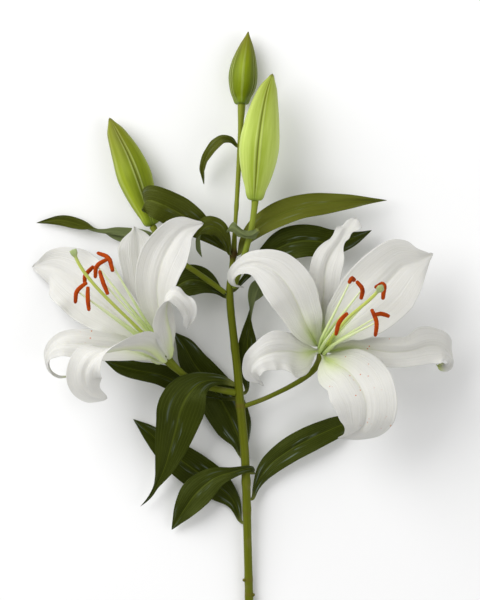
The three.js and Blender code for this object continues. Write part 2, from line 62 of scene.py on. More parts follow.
# ---- Reading the frame ----
def mesh_arrays(node):
    """The CAD node's points, with doubles merged, and its triangles."""
    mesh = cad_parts[node].data
    points = np.array([v.co[:] for v in mesh.vertices])
    keys = np.round(points / SAME_POINT).astype(np.int64)
    _, first, index = np.unique(keys, axis=0, return_index=True, return_inverse=True)
    index = index.reshape(-1)
    triangles = [[index[i] for i in p.vertices] for p in mesh.polygons]
    return points[first], triangles


def neighbours_of(count, triangles):
    """For each point the set of points that an edge joins to it."""
    near = [set() for point in range(count)]
    for a, b, c in triangles:
        near[a] |= {b, c}
        near[b] |= {a, c}
        near[c] |= {a, b}
    return near


def layers_from(start, near):
    """The points in layers by how many edges away from start they are."""
    layers = [[start]]
    seen = {start}
    while True:
        layer = sorted({n for p in layers[-1] for n in near[p]} - seen)
        if not layer:
            return layers
        seen |= set(layer)
        layers.append(layer)


def cycle(layer, triangles):
    """The points of one ring in order round it, joined by triangles with just two points in the ring."""
    members = set(layer)
    joined = {p: set() for p in layer}
    for triangle in triangles:
        pair = [p for p in triangle if p in members]
        if len(pair) == 2:
            joined[pair[0]].add(pair[1])
            joined[pair[1]].add(pair[0])
    ring = [layer[0]]
    while len(ring) < len(layer):
        ring.append(next(p for p in sorted(joined[ring[-1]]) if p not in ring))
    return ring


def read_loft(node):
    """The node's rings, a (count, points round, 3) array from base to tip, and its tip.

    Point 0 of a ring is the middle of the back, and the points run counterclockwise seen from the tip.
    """
    points, triangles = mesh_arrays(node)
    near = neighbours_of(len(points), triangles)
    for start in range(len(points)):
        size = len(near[start])
        if size < 5 or (len(points) - 1) % size:
            continue
        layers = layers_from(start, near)
        if len(layers) > 2 and all(len(layer) == size for layer in layers[1:]):
            break
    else:
        raise ValueError(f"{node} is not a loft")
    tip = points[start]
    rings = []
    base_ids = layers[-1]
    for layer in layers[:0:-1]:
        ids = cycle(layer, triangles)
        ring = points[ids]
        if not rings:
            first = max(range(size), key=lambda i: len(near[ids[i]]))
            ring = np.roll(ring, -first, axis=0)
            ahead = points[layers[-2]].mean(0) - points[base_ids].mean(0)
            spokes = ring[1:] - ring[0]
            area = sum(np.cross(spokes[i], spokes[i + 1]) for i in range(size - 2))
            if np.dot(area, ahead) < 0:
                ring = np.roll(ring[::-1], 1, axis=0)
        else:
            choices = [np.roll(r, k, axis=0) for r in (ring, ring[::-1]) for k in range(size)]
            shift = ring.mean(0) - rings[-1].mean(0)
            ring = min(choices, key=lambda r: ((r - shift - rings[-1]) ** 2).sum())
        rings.append(ring)
    return np.array(rings), tip


# ---- Smooth curves through rings ----
def smooth(values, at):
    """Catmull-Rom curve through values (first axis) at the float positions at."""
    before, after = 2 * values[0] - values[1], 2 * values[-1] - values[-2]
    padded = np.concatenate([[before], values, [after]])
    i = np.clip(np.floor(at).astype(int), 0, len(values) - 2)
    f = (at - i).reshape((-1,) + (1,) * (values.ndim - 1))
    p0, p1, p2, p3 = padded[i], padded[i + 1], padded[i + 2], padded[i + 3]
    square = 2 * p0 - 5 * p1 + 4 * p2 - p3
    cube = 3 * p1 - p0 - 3 * p2 + p3
    return 0.5 * (2 * p1 + (p2 - p0) * f + square * f**2 + cube * f**3)


def even_places(centres, count):
    """Positions along a line of centres that are evenly spaced by length."""
    fine = np.linspace(0, len(centres) - 1, FINE_STEPS * len(centres))
    steps = np.linalg.norm(np.diff(smooth(centres, fine), axis=0), axis=1)
    length = np.concatenate([[0], np.cumsum(steps)])
    return np.interp(np.linspace(0, length[-1], count), length, fine)


def unit(vectors):
    return vectors / np.maximum(np.linalg.norm(vectors, axis=-1, keepdims=True), 1e-12)


def normals_of(grid):
    """The grid's normals. They look out of a leaf's or petal's upper face."""
    return unit(np.cross(np.gradient(grid, axis=0), np.gradient(grid, axis=1)))


def smoothstep(low, high, x):
    """0 up to low, 1 from high on, smooth between."""
    t = np.clip((x - low) / (high - low), 0, 1)
    return t * t * (3 - 2 * t)


# ---- Meshes ----
def new_piece(name, points, faces, material, place, node=None):
    """A smooth object that rides on the root. place holds three numbers per point for the material."""
    mesh = bpy.data.meshes.new(name)
    mesh.from_pydata([tuple(p) for p in points], [], faces)
    mesh.polygons.foreach_set("use_smooth", [True] * len(mesh.polygons))
    attribute = mesh.attributes.new("place", "FLOAT_VECTOR", "POINT")
    attribute.data.foreach_set("vector", np.asarray(place, float).reshape(-1))
    mesh.materials.append(material)
    mesh.update()
    piece = bpy.data.objects.new(name, mesh)
    bpy.context.scene.collection.objects.link(piece)
    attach(piece, "root")
    if node:
        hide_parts(node)
    return piece


def sheet(grid, half):
    """A closed thin sheet round grid, its middle surface of (rows, columns, 3), with half its thickness.

    Gives points, faces, side per point (1 above, 0 below, 0.5 on the margins), the point numbers of the
    upper and the lower face, and which grid points have a point of their own on each face.
    """
    rows, columns = grid.shape[:2]
    normal = normals_of(grid)
    inner = np.zeros((rows, columns), bool)
    inner[:, 1:-1] = True
    upper = grid + normal * half[..., None]
    lower = grid - normal * half[..., None]
    points = np.concatenate([upper.reshape(-1, 3), lower[inner]])
    upper_id = np.arange(rows * columns).reshape(rows, columns)
    lower_id = upper_id.copy()
    lower_id[inner] = rows * columns + np.arange(inner.sum())
    points[upper_id[:, 0]] = grid[:, 0]
    points[upper_id[:, -1]] = grid[:, -1]
    faces = []
    corners = ((0, 0), (1, 0), (1, 1), (0, 1))
    for r in range(rows - 1):
        for c in range(columns - 1):
            faces.append(tuple(upper_id[r + down, c + right] for down, right in corners))
            faces.append(tuple(lower_id[r + down, c + right] for right, down in corners))
    for r, turn in ((0, -1), (rows - 1, 1)):
        for c in range(columns - 1):
            face = (upper_id[r, c], lower_id[r, c], lower_id[r, c + 1], upper_id[r, c + 1])
            face = tuple(dict.fromkeys(face))
            if len(face) > 2:
                faces.append(face[::turn])
    side = np.ones(len(points))
    side[rows * columns :] = 0
    side[upper_id[:, 0]] = side[upper_id[:, -1]] = 0.5
    return points, faces, side, (upper_id, lower_id, inner)


BLADE_ROWS = 90
FOLD_WIDTH = 0.09  # as a share of the half width
FLOOR_GAP = 1.0 * MM  # the lowest that the middle of a leaf or petal comes
BLADE_SHARES = np.concatenate([[-1, -0.985], np.linspace(-0.94, 0.94, 31), [0.985, 1]])
MIDDLE = len(BLADE_SHARES) // 2  # the column on the midrib
COLUMN_SHARES = {  # where a ring's columns lie between the margins, by the number of points round it
    8: [-1, -0.5, 0, 0.5, 1],
    12: [-1, -0.8, -0.45, 0, 0.45, 0.8, 1],
}


def with_root(rings, root, share):
    """The rings with one more in front, drawn together round root, to reach what bears the piece."""
    first = rings[0] - rings[0].mean(0)
    return np.concatenate([(root + first * share)[None], rings])


def blade_grid(rings, tip, point):
    """The middle surface of a leaf or petal as a grid, with u along, v across and its half widths.

    point sets the tip's shape: 1 is straight to a point, 2 is round.
    """
    around = rings.shape[1]
    quarter = around // 4
    half_turn = around // 2
    upper = [(quarter + half_turn - k) % around for k in range(half_turn + 1)]
    lower = [(quarter + half_turn + k) % around for k in range(half_turn + 1)]
    columns = (rings[:, upper] + rings[:, lower]) / 2
    shares = np.array(COLUMN_SHARES[around], float)
    centre = columns[:, len(shares) // 2]
    width = np.linalg.norm(columns[:, -1] - columns[:, 0], axis=1) / 2
    shape = (columns - centre[:, None]) / width[:, None, None]
    centres = np.concatenate([centre, [tip]])
    places = even_places(centres, BLADE_ROWS)
    line = smooth(centres, places)
    powers = np.concatenate([width**point, [0]])
    widths = np.maximum(smooth(powers, places), 0) ** (1 / point)
    shapes = smooth(shape, np.minimum(places, len(rings) - 1))
    at = np.interp(BLADE_SHARES, shares, np.arange(len(shares)))
    across = np.moveaxis(smooth(np.moveaxis(shapes, 1, 0), at), 0, 1)
    widths = np.maximum(widths, THINNEST)
    grid = line[:, None] + across * widths[:, None, None]
    u, v = np.meshgrid(np.linspace(0, 1, BLADE_ROWS), BLADE_SHARES, indexing="ij")
    return grid, u, v, widths[:, None]


def hump(low, high, x):
    """0 outside low to high, 1 in the middle between them."""
    middle = (low + high) / 2
    return smoothstep(low, middle, x) * (1 - smoothstep(middle, high, x))


def side_of(grid):
    """Per row the direction from one margin to the other."""
    return unit(grid[:, -1] - grid[:, 0])[:, None]


def facing_share(grid, v, toward):
    """How much each half of each row faces toward, from -1 to 1."""
    return (side_of(grid) @ np.array(toward, float)) * np.sign(v)


def widen(low, high, amount, toward):
    """Widens a blade between two places along it, on the side that faces toward."""

    def change(grid, u, v):
        centre = grid[:, MIDDLE][:, None]
        facing = np.clip(facing_share(grid, v, toward), 0, 1)
        return centre + (grid - centre) * (1 + amount * hump(low, high, u) * facing)[..., None]

    return change


def frill(low, high, amount, waves, phase, flat=0.6):
    """Waves along the margins between two places: up and down, and by the share flat also in and out."""

    def change(grid, u, v):
        turns = 2 * math.pi * waves * u
        wave = np.sin(turns + phase + 0.9 * np.sign(v))
        wave += 0.45 * np.sin(2.17 * turns + 2 * phase - 0.7 * np.sign(v))
        ends = smoothstep(low, low + 0.12, u) * (1 - smoothstep(high - 0.04, high + 0.04, u))
        size = amount * np.abs(v) ** 2.2 * ends * wave
        out = side_of(grid) * np.sign(v)[..., None]
        return grid + normals_of(grid) * size[..., None] + out * (flat * size)[..., None]

    return change


def even_out(low, high, toward):
    """Draws the margin evenly between two places, on the side that faces toward."""

    def change(grid, u, v):
        rows = u[:, 0]
        first, last = np.searchsorted(rows, (low, high))
        share = np.clip((rows - low) / (high - low), 0, 1)[:, None, None]
        facing = np.clip(2 * facing_share(grid, v, toward), 0, 1)
        offset = grid - grid[:, MIDDLE][:, None]
        even = offset[first] * (1 - share) + offset[last] * share
        inside = (rows >= low) & (rows <= high)
        return grid + (even - offset) * (facing * inside[:, None])[..., None]

    return change


def bump_at(distance, width):
    """A round bump: 1 where distance is 0, almost 0 two widths away."""
    return np.exp(-((distance / width) ** 2))


def relief(u, v, width, fade, spread, style):
    """How far a blade's surface is lifted by ruffled margins, billows, the midrib's groove and folds."""
    phase = np.random.default_rng(style["seed"]).uniform(0, 2 * math.pi, 6)
    swell = smoothstep(0.12, 0.5, u) * (1 - 0.6 * smoothstep(0.85, 1, u))
    turns = 2 * math.pi * style["waves"] * u
    right = np.sin(turns + phase[0]) + 0.4 * np.sin(2.3 * turns + phase[1])
    left = np.sin(0.9 * turns + phase[2]) + 0.4 * np.sin(2.1 * turns + phase[3])
    ruffle = np.where(v > 0, right, left)
    lift = style["ruffle"] * np.abs(v) ** 3 * swell * ruffle * np.minimum(1, width / (8 * MM))
    billow = np.sin(2.2 * math.pi * u + phase[4]) * np.sin(1.3 * math.pi * v + phase[5])
    lift += style["billow"] * billow * swell
    lift -= style["groove"] * bump_at(v, spread) * fade
    for fold in style["folds"]:
        lift += style["fold"] * bump_at(np.abs(v) - fold, FOLD_WIDTH) * fade * smoothstep(0.02, 0.2, u)
    return lift


def blade_piece(node, name, material, style, loft=None):
    """A leaf or petal: its CAD rings, smoothed, with relief, a reshaped outline and real thickness."""
    rings, tip = loft or read_loft(node)
    rings = with_root(rings, style["root"](rings), style["root_share"])
    grid, u, v, width = blade_grid(rings, tip, style["point"])
    for change in style.get("before", ()):
        grid = change(grid, u, v)
    fade = 1 - smoothstep(0.75, 1, u)
    spread = style["groove_width"] / np.maximum(width, 2 * MM)
    lift = relief(u, v, width, fade, spread, style)
    grid = grid + normals_of(grid) * lift[..., None]
    for change in style.get("after", ()):
        grid = change(grid, u, v)
    grid[..., 2] = np.maximum(grid[..., 2], FLOOR_GAP)
    half = style["thickness"] * (0.35 + 0.65 * (1 - np.abs(v) ** 2.2)) * (0.55 + 0.45 * fade)
    half = np.minimum(half, 0.45 * width)
    keel = style["keel"] * bump_at(v, 0.8 * spread) * fade
    points, faces, side, (upper_id, lower_id, inner) = sheet(grid, half)
    down = -normals_of(grid) * keel[..., None]
    points[lower_id[inner]] += down[inner]
    place = np.zeros((len(points), 3))
    place[upper_id.reshape(-1), 0] = u.reshape(-1)
    place[upper_id.reshape(-1), 1] = v.reshape(-1)
    place[lower_id[inner], 0] = u[inner]
    place[lower_id[inner], 1] = v[inner]
    place[:, 2] = side
    return new_piece(name, points, faces, material, place, node)


def tube_grid(rings, tip, style):
    """The skin of a round piece as a grid (along, round), with each row's middle, u and the angles."""
    centre = rings.mean(1)
    size = np.linalg.norm(rings - centre[:, None], axis=2).mean(1)
    centres = np.concatenate([centre, [tip]])
    centres[0] += unit(centres[0] - centres[1]) * style.get("reach_down", 0)
    centres[-1] += unit(centres[-1] - centres[-2]) * style.get("reach_up", 0)
    places = even_places(centres, style["rows"])
    line = smooth(centres, places)
    past_last = np.clip(places - (len(rings) - 1), 0, 1)
    point = style["point"]
    sizes = smooth(np.concatenate([size, size[-1:]]), places)
    u = np.linspace(0, 1, style["rows"])
    if "radius" in style:
        sizes = style["radius"](u, sizes)
    for height, amount, reach in style.get("swellings", ()):
        sizes = sizes * (1 + amount * bump_at(line[:, 1] - height, reach))
    taper = np.maximum(1 - past_last**point, 0) ** (1 / point)
    sizes = np.maximum(sizes * taper, THINNEST)
    if style.get("round_base"):
        before = np.clip(1 - u / style["round_base"], 0, 1)
        sizes = np.maximum(sizes * np.sqrt(1 - before**2), THINNEST)
    along = unit(np.gradient(line, axis=0))
    start = smooth(unit(rings[:, 0] - centre), np.minimum(places, len(rings) - 1))
    start = unit(start - along * (start * along).sum(1, keepdims=True))
    side = np.cross(along, start)
    angle = np.linspace(0, 2 * math.pi, style["sides"], endpoint=False)
    shape = np.ones((len(u), len(angle)))
    if "profile" in style:
        shape = style["profile"](u[:, None], angle[None, :])
    around = start[:, None] * np.cos(angle)[:, None] + side[:, None] * np.sin(angle)[:, None]
    return line[:, None] + (sizes[:, None] * shape)[..., None] * around, line, u, angle


TUBE = dict(sides=24, rows=60, point=2.0)


def tube_piece(node, name, material, slot, **changes):
    """A round piece along the CAD node's own line: a stalk, a bud, a filament or an anther."""
    rings, tip = read_loft(node)
    style = dict(TUBE, **changes)
    grid, line, u, angle = tube_grid(rings, tip, style)
    rows, sides = style["rows"], style["sides"]
    points = np.concatenate([grid.reshape(-1, 3), [line[0]]])
    faces = []
    for r in range(rows - 1):
        for s in range(sides):
            t = (s + 1) % sides
            faces.append((r * sides + s, r * sides + t, (r + 1) * sides + t, (r + 1) * sides + s))
    faces += [(rows * sides, (s + 1) % sides, s) for s in range(sides)]
    faces.append(tuple((rows - 1) * sides + s for s in range(sides)))
    place = np.zeros((len(points), 3))
    place[:-1, 0] = np.repeat(u, sides)
    place[:-1, 1] = np.tile(np.cos(angle), rows)
    place[:-1, 2] = np.tile(np.sin(angle), rows)
    return new_piece(name, points, faces, material, place, node)


# ---- Materials ----
class Shader:
    """A material's node tree, with short names for the nodes that the materials below need."""

    def __init__(self, name):
        self.material = bpy.data.materials.new(name)
        self.material.use_nodes = True
        self.tree = self.material.node_tree
        self.surface = self.tree.nodes["Principled BSDF"]
        place = self.tree.nodes.new("ShaderNodeAttribute")
        place.attribute_name = "place"
        split = self.tree.nodes.new("ShaderNodeSeparateXYZ")
        self.tree.links.new(place.outputs["Vector"], split.inputs[0])
        self.u, self.v, self.w = split.outputs
        coordinates = self.tree.nodes.new("ShaderNodeTexCoord")
        self.object = coordinates.outputs["Object"]

    def feed(self, socket, value):
        """Links the socket to another node's output, or sets it to a number or a colour."""
        if isinstance(value, bpy.types.NodeSocket):
            self.tree.links.new(value, socket)
        elif isinstance(value, tuple):
            socket.default_value = (*value, 1)
        elif value is not None:
            socket.default_value = value

    def set(self, colour, roughness, **constants):
        self.feed(self.surface.inputs["Base Color"], colour)
        self.feed(self.surface.inputs["Roughness"], roughness)
        for name, value in constants.items():
            self.surface.inputs[name.replace("_", " ")].default_value = value

    def math(self, operation, a, b=None, clamp=False):
        node = self.tree.nodes.new("ShaderNodeMath")
        node.operation = operation
        node.use_clamp = clamp
        for socket, value in zip(node.inputs, (a, b)):
            self.feed(socket, value)
        return node.outputs[0]

    def step(self, value, low, high):
        """0 below low and 1 above high, smooth between; low may be the higher one."""
        node = self.tree.nodes.new("ShaderNodeMapRange")
        node.interpolation_type = "SMOOTHSTEP"
        turned = low > high
        self.feed(node.inputs["Value"], value)
        node.inputs["From Min"].default_value = min(low, high)
        node.inputs["From Max"].default_value = max(low, high)
        node.inputs["To Min"].default_value = 1 if turned else 0
        node.inputs["To Max"].default_value = 0 if turned else 1
        return node.outputs["Result"]

    def mix(self, factor, a, b):
        """Colour a where factor is 0, b where it is 1."""
        node = self.tree.nodes.new("ShaderNodeMix")
        node.data_type = "RGBA"
        self.feed(node.inputs["Factor"], factor)
        for socket, value in zip([s for s in node.inputs if s.type == "RGBA"], (a, b)):
            self.feed(socket, value)
        return next(s for s in node.outputs if s.type == "RGBA")

    def heights(self):
        """How far up the plant a place is: the frame's Y."""
        node = self.tree.nodes.new("ShaderNodeSeparateXYZ")
        self.tree.links.new(self.object, node.inputs[0])
        return node.outputs[1]

    def noise(self, scale, detail=2.0, vector=None, distortion=0.0):
        node = self.tree.nodes.new("ShaderNodeTexNoise")
        node.inputs["Scale"].default_value = scale
        node.inputs["Detail"].default_value = detail
        node.inputs["Distortion"].default_value = distortion
        self.feed(node.inputs["Vector"], vector or self.object)
        return node.outputs["Fac"]

    def cells(self, scale):
        node = self.tree.nodes.new("ShaderNodeTexVoronoi")
        node.inputs["Scale"].default_value = scale
        self.feed(node.inputs["Vector"], self.object)
        return node.outputs["Distance"]

    def bell(self, value, width):
        """1 where value is 0, falling to 0 about width away on either side."""
        square = self.math("POWER", self.math("DIVIDE", value, width), 2.0)
        return self.math("DIVIDE", 1.0, self.math("ADD", 1.0, self.math("MULTIPLY", square, square)))

    def stretched(self, along, across):
        """The place on a piece as a texture vector, with u and v scaled."""
        node = self.tree.nodes.new("ShaderNodeCombineXYZ")
        self.feed(node.inputs[0], self.math("MULTIPLY", self.u, along))
        self.feed(node.inputs[1], self.math("MULTIPLY", self.v, across))
        self.feed(node.inputs[2], self.w)
        return node.outputs[0]

    def bump(self, height, distance, strength):
        """Adds a bump on top of the ones before it."""
        node = self.tree.nodes.new("ShaderNodeBump")
        node.inputs["Strength"].default_value = strength
        node.inputs["Distance"].default_value = distance
        self.feed(node.inputs["Height"], height)
        before = self.surface.inputs["Normal"]
        if before.is_linked:
            self.tree.links.new(before.links[0].from_socket, node.inputs["Normal"])
        self.tree.links.new(node.outputs[0], before)


def petal_material(name, specks=0.0, green_tip=0.0):
    """White and soft, yellow green deep in the throat and along the midrib, with fine long veins.

    specks sets how far the patches of pollen specks spread; 0 leaves them out.
    """
    s = Shader(name)
    m = s.math
    off = m("ABSOLUTE", s.v)
    deep = m("POWER", s.step(s.u, 0.42, 0.0), 1.6)
    near_rib = s.bell(off, 0.34)
    throat = m("MULTIPLY", deep, m("ADD", 0.3, m("MULTIPLY", near_rib, 0.7)), clamp=True)
    # The midrib's own green, darkened to grey: partly real colour, partly painted shade of the midrib's
    # groove.
    rib_green_and_groove_shade = m("MULTIPLY", s.bell(off, 0.035), s.step(s.u, 0.92, 0.1))
    front = s.step(s.w, 0.4, 0.6)
    back_rib = m("MULTIPLY", s.bell(off, 0.12), s.step(s.u, 1.1, 0.1))
    back_rib = m("MULTIPLY", back_rib, m("SUBTRACT", 1.0, front))
    veins = s.noise(1.0, 3.0, s.stretched(2.5, 26.0))
    shade = s.mix(veins, (0.56, 0.552, 0.515), (0.715, 0.71, 0.675))
    colour = s.mix(m("MULTIPLY", rib_green_and_groove_shade, 0.36), shade, (0.46, 0.49, 0.26))
    colour = s.mix(throat, colour, (0.56, 0.67, 0.20))
    colour = s.mix(m("MULTIPLY", back_rib, 0.62), colour, (0.62, 0.69, 0.34))
    if green_tip:
        tip = m("MULTIPLY", s.step(s.u, 0.94, 0.985), green_tip)
        colour = s.mix(tip, colour, (0.42, 0.50, 0.12))
    if specks:
        spots = s.step(s.cells(230.0), 0.17, 0.12)
        patch = s.step(s.noise(70.0, 1.0), 0.62 - 0.08 * specks, 0.70 - 0.08 * specks)
        shown = m("MULTIPLY", front, s.step(s.u, 0.95, 0.6))
        dust = m("MULTIPLY", m("MULTIPLY", spots, patch), shown)
        colour = s.mix(m("MULTIPLY", dust, 0.9), colour, (0.55, 0.13, 0.03))
    s.set(
        colour,
        m("ADD", 0.42, m("MULTIPLY", veins, 0.2)),
        Subsurface_Weight=0.15,
        Subsurface_Radius=(0.0032, 0.003, 0.0022),
        Subsurface_Scale=1.0,
        Sheen_Weight=0.25,
        Sheen_Roughness=0.4,
        Specular_IOR_Level=0.35,
    )
    s.bump(veins, 0.6 * MM, 0.8)
    s.bump(s.noise(1500.0, 2.0), 0.06 * MM, 0.5)
    return s.material


# How strongly the painted highlight streaks, grey blue gloss, show on a leaf's upper face:
PAINTED_GLOSS = 0.25  # of a leaf that is not singled out


def leaf_material(name, pale=0.0, painted_gloss=PAINTED_GLOSS):
    """Dark glossy green above with parallel veins, pale grey green and dull below.

    pale lightens the upper face; the last argument sets how strongly the painted highlight streaks, grey
    blue gloss, show on it.
    """
    s = Shader(name)
    m = s.math
    front = s.step(s.w, 0.35, 0.65)
    lines = m("ABSOLUTE", m("COSINE", m("MULTIPLY", s.v, 7.0 * math.pi)))
    vein = m("POWER", lines, 24.0)
    midrib = s.bell(s.v, 0.05)
    fine = s.noise(1.0, 3.0, s.stretched(3.0, 34.0))
    blotch = s.noise(70.0, 2.0)
    dark = s.mix(blotch, (0.0065, 0.011, 0.0002), (0.022, 0.031, 0.0005))
    dark = s.mix(m("MULTIPLY", fine, 0.5), dark, (0.050, 0.062, 0.002))
    if pale:
        dark = s.mix(pale, dark, (0.19, 0.20, 0.02))
    top = s.mix(m("MULTIPLY", vein, 0.16), dark, (0.11, 0.14, 0.012))
    top = s.mix(m("MULTIPLY", midrib, 0.4), top, (0.12, 0.15, 0.015))
    # Painted highlight: long grey blue streaks of reflected light on the upper face, which is also made
    # smoother there.
    shine = s.step(s.noise(1.0, 2.0, s.stretched(3.5, 2.6), 0.4), 0.56, 0.68)
    shine = m("MULTIPLY", shine, s.step(s.noise(1.0, 2.0, s.stretched(5.0, 11.0)), 0.40, 0.60))
    top = s.mix(m("MULTIPLY", shine, painted_gloss), top, (0.22, 0.27, 0.25))
    below = s.mix(fine, (0.11, 0.14, 0.05), (0.17, 0.20, 0.085))
    below = s.mix(m("MULTIPLY", midrib, 0.4), below, (0.25, 0.29, 0.12))
    colour = s.mix(front, below, top)
    foot = s.step(s.u, 0.10, 0.0)
    colour = s.mix(foot, colour, (0.20, 0.22, 0.05))
    rough = m("ADD", 0.30, m("MULTIPLY", s.noise(40.0, 2.0), 0.16))
    rough = m("SUBTRACT", rough, m("MULTIPLY", shine, 0.12))
    rough = m("ADD", rough, m("MULTIPLY", m("SUBTRACT", 1.0, front), 0.2))
    s.set(colour, rough, Specular_IOR_Level=0.26, Specular_Tint=(0.85, 1.0, 0.35, 1))
    s.bump(m("ADD", m("MULTIPLY", vein, -0.6), m("MULTIPLY", fine, 0.9)), 0.4 * MM, 0.8)
    return s.material


BROWN, DARK_BROWN = (0.13, 0.075, 0.02), (0.045, 0.018, 0.008)
STEM_BROWNS = (  # height up the stem, reach, colour and strength of each brown patch
    (0.0547, 0.0042, DARK_BROWN, 0.8),
    (-0.0669, 0.0016, BROWN, 0.35),
    (-0.2075, 0.0012, BROWN, 0.2),
    (-0.2190, 0.0012, BROWN, 0.2),
    (-0.1535, 0.0010, BROWN, 0.1),
)


def stem_material(name, light=0.0, browns=()):
    """Olive green skin with pale long streaks, and brown where leaves and stalks grow out."""
    s = Shader(name)
    m = s.math
    streaks = s.noise(1.0, 3.0, s.stretched(6.0, 7.0))
    blotch = s.noise(90.0, 3.0)
    colour = s.mix(streaks, (0.055, 0.066, 0.0), (0.15, 0.17, 0.008))
    colour = s.mix(light, colour, (0.26, 0.36, 0.05))
    colour = s.mix(m("MULTIPLY", s.step(blotch, 0.56, 0.72), 0.4), colour, (0.15, 0.13, 0.04))
    height = s.heights()
    colour = s.mix(m("MULTIPLY", s.step(height, 0.0, 0.13), 0.6), colour, (0.24, 0.28, 0.03))
    for place, reach, tone, share in browns:
        near = s.bell(m("SUBTRACT", height, place), reach)
        colour = s.mix(m("MULTIPLY", near, m("ADD", share, m("MULTIPLY", streaks, 0.3))), colour, tone)
    radius = m("ADD", m("POWER", s.v, 2.0), m("POWER", s.w, 2.0))
    fibres = s.step(s.cells(2600.0), 0.1, 0.6)
    cut = s.mix(fibres, (0.30, 0.36, 0.10), (0.52, 0.56, 0.26))
    colour = s.mix(s.step(radius, 0.92, 0.86), colour, cut)
    s.set(
        colour,
        m("ADD", 0.34, m("MULTIPLY", blotch, 0.2)),
        Specular_IOR_Level=0.22,
        Specular_Tint=(0.9, 1.0, 0.4, 1),
        Subsurface_Weight=0.05,
        Subsurface_Radius=(0.001, 0.0015, 0.0005),
    )
    s.bump(streaks, 0.3 * MM, 0.7)
    s.bump(s.noise(900.0, 2.0), 0.05 * MM, 0.6)
    return s.material


def bud_material(name, dark, light, olive, offset):
    """Waxy bud skin: yellow green with paler ridges and streaks and a painted highlight line along each
    crest, darker at the seams and the foot.
    """
    s = Shader(name)
    m = s.math
    angle = m("ARCTAN2", s.w, s.v)
    ridge = m("COSINE", m("MULTIPLY", m("ADD", angle, offset), 3.0))
    streaks = s.noise(1.0, 3.0, s.stretched(3.0, 9.0))
    tone = m("ADD", m("MULTIPLY", ridge, 0.30), m("MULTIPLY", streaks, 0.9), clamp=True)
    colour = s.mix(tone, dark, light)
    lips = m("MULTIPLY", s.step(ridge, -0.80, -0.93), s.step(ridge, -0.985, -0.95))
    colour = s.mix(m("MULTIPLY", lips, 0.28), colour, (0.66, 0.72, 0.30))
    seam = s.step(ridge, -0.984, -0.9994)
    colour = s.mix(m("MULTIPLY", seam, 0.8), colour, (0.11, 0.12, 0.01))
    # Painted highlight: a pale line along the raised crest of each closed outer petal.
    crest_highlight = s.step(ridge, 0.93, 0.998)
    colour = s.mix(m("MULTIPLY", crest_highlight, 0.16), colour, (0.62, 0.70, 0.30))
    colour = s.mix(m("MULTIPLY", s.step(s.u, 0.45, 1.0), olive), colour, (0.16, 0.15, 0.01))
    colour = s.mix(m("MULTIPLY", s.step(s.u, 0.955, 1.0), 0.8), colour, (0.10, 0.08, 0.02))
    colour = s.mix(m("MULTIPLY", s.step(s.u, 0.12, 0.0), 0.6), colour, (0.16, 0.24, 0.02))
    s.set(
        colour,
        m("ADD", 0.36, m("MULTIPLY", streaks, 0.14)),
        Specular_Tint=(0.9, 1.0, 0.5, 1),
        Specular_IOR_Level=0.28,
        Subsurface_Weight=0.05,
        Subsurface_Radius=(0.002, 0.003, 0.001),
    )
    s.bump(streaks, 0.3 * MM, 0.6)
    s.bump(s.noise(1200.0, 2.0), 0.05 * MM, 0.5)
    return s.material


def filament_material():
    """Pale green stalk, whiter towards the anther."""
    s = Shader("filament_skin")
    colour = s.mix(s.step(s.u, 0.0, 0.9), (0.46, 0.60, 0.14), (0.72, 0.80, 0.46))
    colour = s.mix(s.math("MULTIPLY", s.noise(120.0), 0.2), colour, (0.82, 0.86, 0.62))
    s.set(colour, 0.38, Subsurface_Weight=0.2, Subsurface_Radius=(0.001, 0.001, 0.0005))
    s.bump(s.noise(1.0, 2.0, s.stretched(4.0, 8.0)), 0.15 * MM, 0.5)
    return s.material


def pistil_material():
    """Yellow green style, greener ovary and a pale, moist, grey green stigma."""
    s = Shader("pistil_skin")
    m = s.math
    colour = s.mix(s.step(s.u, 0.0, 0.35), (0.38, 0.46, 0.06), (0.50, 0.56, 0.10))
    colour = s.mix(s.step(s.u, 0.90, 0.97), colour, (0.34, 0.41, 0.18))
    colour = s.mix(m("MULTIPLY", s.noise(300.0, 3.0), 0.3), colour, (0.30, 0.42, 0.08))
    s.set(
        colour,
        m("ADD", 0.25, m("MULTIPLY", s.noise(200.0), 0.2)),
        Subsurface_Weight=0.15,
        Subsurface_Radius=(0.001, 0.0015, 0.0005),
    )
    s.bump(s.noise(700.0, 3.0), 0.15 * MM, 0.6)
    return s.material


def anther_material():
    """Rust orange, matte and dusty with pollen."""
    s = Shader("anther_pollen")
    m = s.math
    grain = s.noise(2600.0, 3.0)
    colour = s.mix(grain, (0.22, 0.018, 0.001), (0.56, 0.085, 0.004))
    colour = s.mix(m("MULTIPLY", s.step(s.noise(220.0), 0.5, 0.72), 0.6), colour, (0.18, 0.015, 0.002))
    s.set(colour, 0.85, Specular_IOR_Level=0.1)
    s.bump(s.cells(2400.0), 0.3 * MM, 0.8)
    s.bump(grain, 0.2 * MM, 0.6)
    return s.material


# ---- The pieces ----
PETAL_ROOT_DEPTH = 2.5 * MM
LEAF_ROOT_DEPTH = 1.2 * MM
LEAF_ROOT_INWARD = 0.7  # share of the way to the middle of the stem


def flower_foot(flower):
    """Where a flower's petals grow from: just behind the middle of their bases, towards the stalk."""
    petals = [node for node in sorted(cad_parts) if node.startswith(flower) and "petal" in node]
    bases = [read_loft(node)[0][0].mean(0) for node in petals]
    middle = np.mean(bases, axis=0)
    stalk_tip = read_loft(flower + "_flower_stalk")[1]
    return middle + unit(stalk_tip - middle) * PETAL_ROOT_DEPTH


